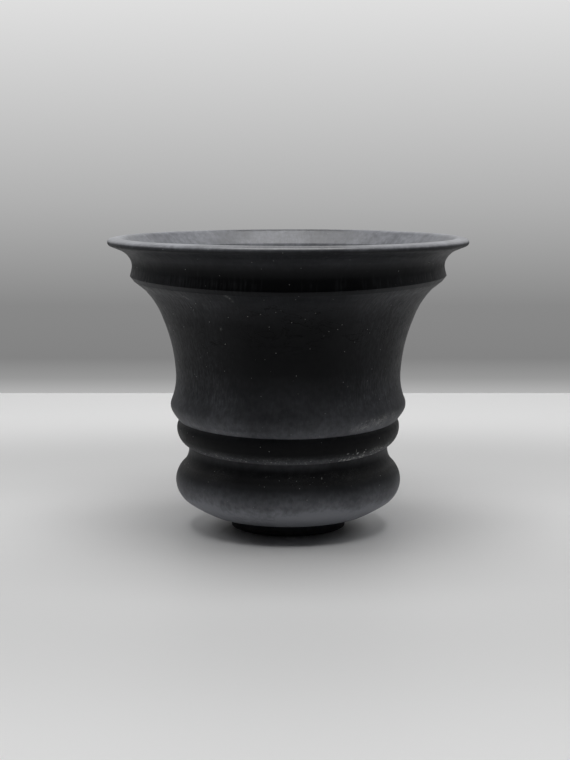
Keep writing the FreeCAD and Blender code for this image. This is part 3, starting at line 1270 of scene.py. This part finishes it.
@dataclass
class Pot:
    """The whole pot, from the foot up."""

    pieces: tuple[TurnedPiece, ...] = (
        TurnedPiece("foot_ring", SCRAPED_CLAY, columns=360, outer_step=1.0 * MM, dust_and_light_by_height=((0.0, 0.1),)),
        TurnedPiece("floor_disc", INNER_CLAY, columns=300, outer_step=2.0 * MM, inner_step=1.5 * MM),
        TurnedPiece("floor_seam_coil", INNER_CLAY, columns=420, outer_step=1.0 * MM, inner_step=1.0 * MM),
        BaseBowl(),
        MiddleBead(),
        FlaredWall(),
        CollarBand(),
        RimRing(),
    )

    def build(self) -> list[bpy.types.Object]:
        """Build every piece."""
        return [piece.build() for piece in self.pieces]


@dataclass(frozen=True)
class Softbox:
    """A soft rectangular light, in metres and watts, that the camera does not see."""

    name: str
    place: tuple[float, float, float]
    aim: tuple[float, float, float]
    wide: float
    deep: float
    power: float

    def build(self) -> None:
        """Hang the light."""
        light = bpy.data.lights.new(self.name, "AREA")
        light.shape = "RECTANGLE"
        light.size, light.size_y = self.wide, self.deep
        light.energy = self.power
        shown = bpy.data.objects.new(self.name, light)
        bpy.context.scene.collection.objects.link(shown)
        shown.location = self.place
        ray = Vector(self.aim) - Vector(self.place)
        shown.rotation_euler = ray.to_track_quat("-Z", "Y").to_euler()
        shown.visible_camera = False


@dataclass(frozen=True)
class Shade:
    """A smooth step in the table's paleness with the distance from a spot, in metres."""

    squeeze: float
    near: float
    far: float
    at_near: float
    at_far: float
    centre: Spot = (0.0, 0.0, 0.0)

    def amount(self, sheet: NodeSheet) -> bpy.types.NodeSocket:
        """Give the paleness over the table."""
        away = sheet.distance(sheet.place(), self.centre, self.squeeze)
        return sheet.span(away, self.near, self.far, self.at_near, self.at_far)


@dataclass(frozen=True)
class Studio:
    """A pale table with a straight back edge, a grey backdrop behind it, and soft lights."""

    table_back: float = 0.716
    table_reach: float = 2.6
    backdrop_at: float = 1.9
    glow: tuple[tuple[float, float], ...] = (
        (0.03, 0.46), (0.07, 0.31), (0.12, 0.225), (0.25, 0.245), (0.50, 0.43), (1.0, 0.74),
    )
    backdrop_span: tuple[float, float] = (-0.2, 0.8)
    shades: tuple[Shade, ...] = (
        Shade(0.5, 0.04, 0.20, 0.79, 0.67),
        Shade(0.5, 0.28, 0.58, 0.0, 0.16),
        Shade(0.45, 0.05, 0.25, -0.09, 0.0, (0.0, 0.27, 0.0)),
    )
    air_seen: float = 0.52
    air_felt: float = 0.02
    camera_at: Spot = (-0.0025, -1.2465, 0.2887)
    camera_down: float = 7.90
    lens: float = 75.74
    lights: tuple[Softbox, ...] = (
        Softbox("top_panel", (0.0, -0.15, 1.9), (0.0, 0.0, 0.0), 1.6, 1.6, 32.0),
        Softbox("left_panel", (-1.2, 0.25, 1.10), (0.0, 0.0, 0.12), 0.9, 0.6, 2.4),
        Softbox("right_panel", (1.2, 0.25, 1.10), (0.0, 0.0, 0.12), 0.9, 0.6, 2.4),
    )

    def build(self) -> None:
        """Set the table, the backdrop, the lights, the air and the camera."""
        self._table()
        self._backdrop()
        for light in self.lights:
            light.build()
        self._air()
        self._camera()

    def _plane(self, name: str, corners: list[Spot], material: bpy.types.Material) -> None:
        """Make a flat stage piece.

        Args:
            name: Its name.
            corners: Its four corners.
            material: Its material.
        """
        mesh = bpy.data.meshes.new(name)
        mesh.from_pydata(corners, [], [(0, 1, 2, 3)])
        mesh.materials.append(material)
        shown = bpy.data.objects.new(name, mesh)
        bpy.context.scene.collection.objects.link(shown)

    def _table(self) -> None:
        """Lay the table. Its paleness is uneven, as if the light fell off round and behind the pot."""
        sheet = NodeSheet.fresh("table_top")
        shader = sheet.add("ShaderNodeBsdfPrincipled")
        level: object = 0.0
        for shade in self.shades:
            level = sheet.math("ADD", level, shade.amount(sheet))
        grey = sheet.add("ShaderNodeCombineColor")
        for socket in grey.inputs:
            sheet.feed(socket, level)
        sheet.feed(shader.inputs["Base Color"], grey.outputs[0])
        shader.inputs["Roughness"].default_value = 0.55
        reach, back = self.table_reach, self.table_back
        corners = [(-reach, -reach, 0.0), (reach, -reach, 0.0), (reach, back, 0.0), (-reach, back, 0.0)]
        self._plane("table_top", corners, sheet.surface(shader))

    def _backdrop(self) -> None:
        """Hang the backdrop, which glows from dark at the table to light above."""
        sheet = NodeSheet.fresh("backdrop")
        rise = sheet.add("ShaderNodeSeparateXYZ")
        sheet.feed(rise.inputs[0], sheet.place())
        bottom, tall = self.backdrop_span
        ramp = sheet.add("ShaderNodeValToRGB")
        above = sheet.math("SUBTRACT", rise.outputs[2], bottom)
        sheet.feed(ramp.inputs[0], sheet.math("DIVIDE", above, tall))
        stops = ramp.color_ramp.elements
        while len(stops) < len(self.glow):
            stops.new(0.5)
        for stop, (share, level) in zip(stops, self.glow):
            stop.position = share
            stop.color = opaque((level, level, level))
        glow = sheet.add("ShaderNodeEmission")
        sheet.feed(glow.inputs["Color"], ramp.outputs[0])
        reach, away = self.table_reach, self.backdrop_at
        corners = [(-reach, away, -1.0), (reach, away, -1.0), (reach, away, 2.0), (-reach, away, 2.0)]
        self._plane("backdrop", corners, sheet.surface(glow))

    def _air(self) -> None:
        """Fill the room with pale grey for the camera and dim grey for the pot."""
        world = bpy.data.worlds.new("studio_air")
        world.use_nodes = True
        tree = world.node_tree
        tree.nodes.clear()
        path = tree.nodes.new("ShaderNodeLightPath")
        either = tree.nodes.new("ShaderNodeMixShader")
        output = tree.nodes.new("ShaderNodeOutputWorld")
        tree.links.new(path.outputs["Is Camera Ray"], either.inputs[0])
        for socket, level in zip(either.inputs[1:], (self.air_felt, self.air_seen)):
            air = tree.nodes.new("ShaderNodeBackground")
            air.inputs["Color"].default_value = opaque((level, level, level))
            tree.links.new(air.outputs[0], socket)
        tree.links.new(either.outputs[0], output.inputs["Surface"])
        bpy.context.scene.world = world
        bpy.context.scene.view_settings.view_transform = "Standard"

    def _camera(self) -> None:
        """Stand the camera in front of the pot, looking a little down."""
        lens = bpy.data.cameras.new("camera")
        lens.lens = self.lens
        lens.sensor_width = 36.0
        shown = bpy.data.objects.new("camera", lens)
        bpy.context.scene.collection.objects.link(shown)
        shown.location = self.camera_at
        shown.rotation_euler = (math.radians(90.0 - self.camera_down), 0.0, 0.0)
        bpy.context.scene.camera = shown


def main() -> None:
    """Build the pot and the studio."""
    logging.basicConfig(level=logging.INFO, format="%(name)s: %(message)s")
    Pot().build()
    Studio().build()


if __name__ == "__main__":
    main()
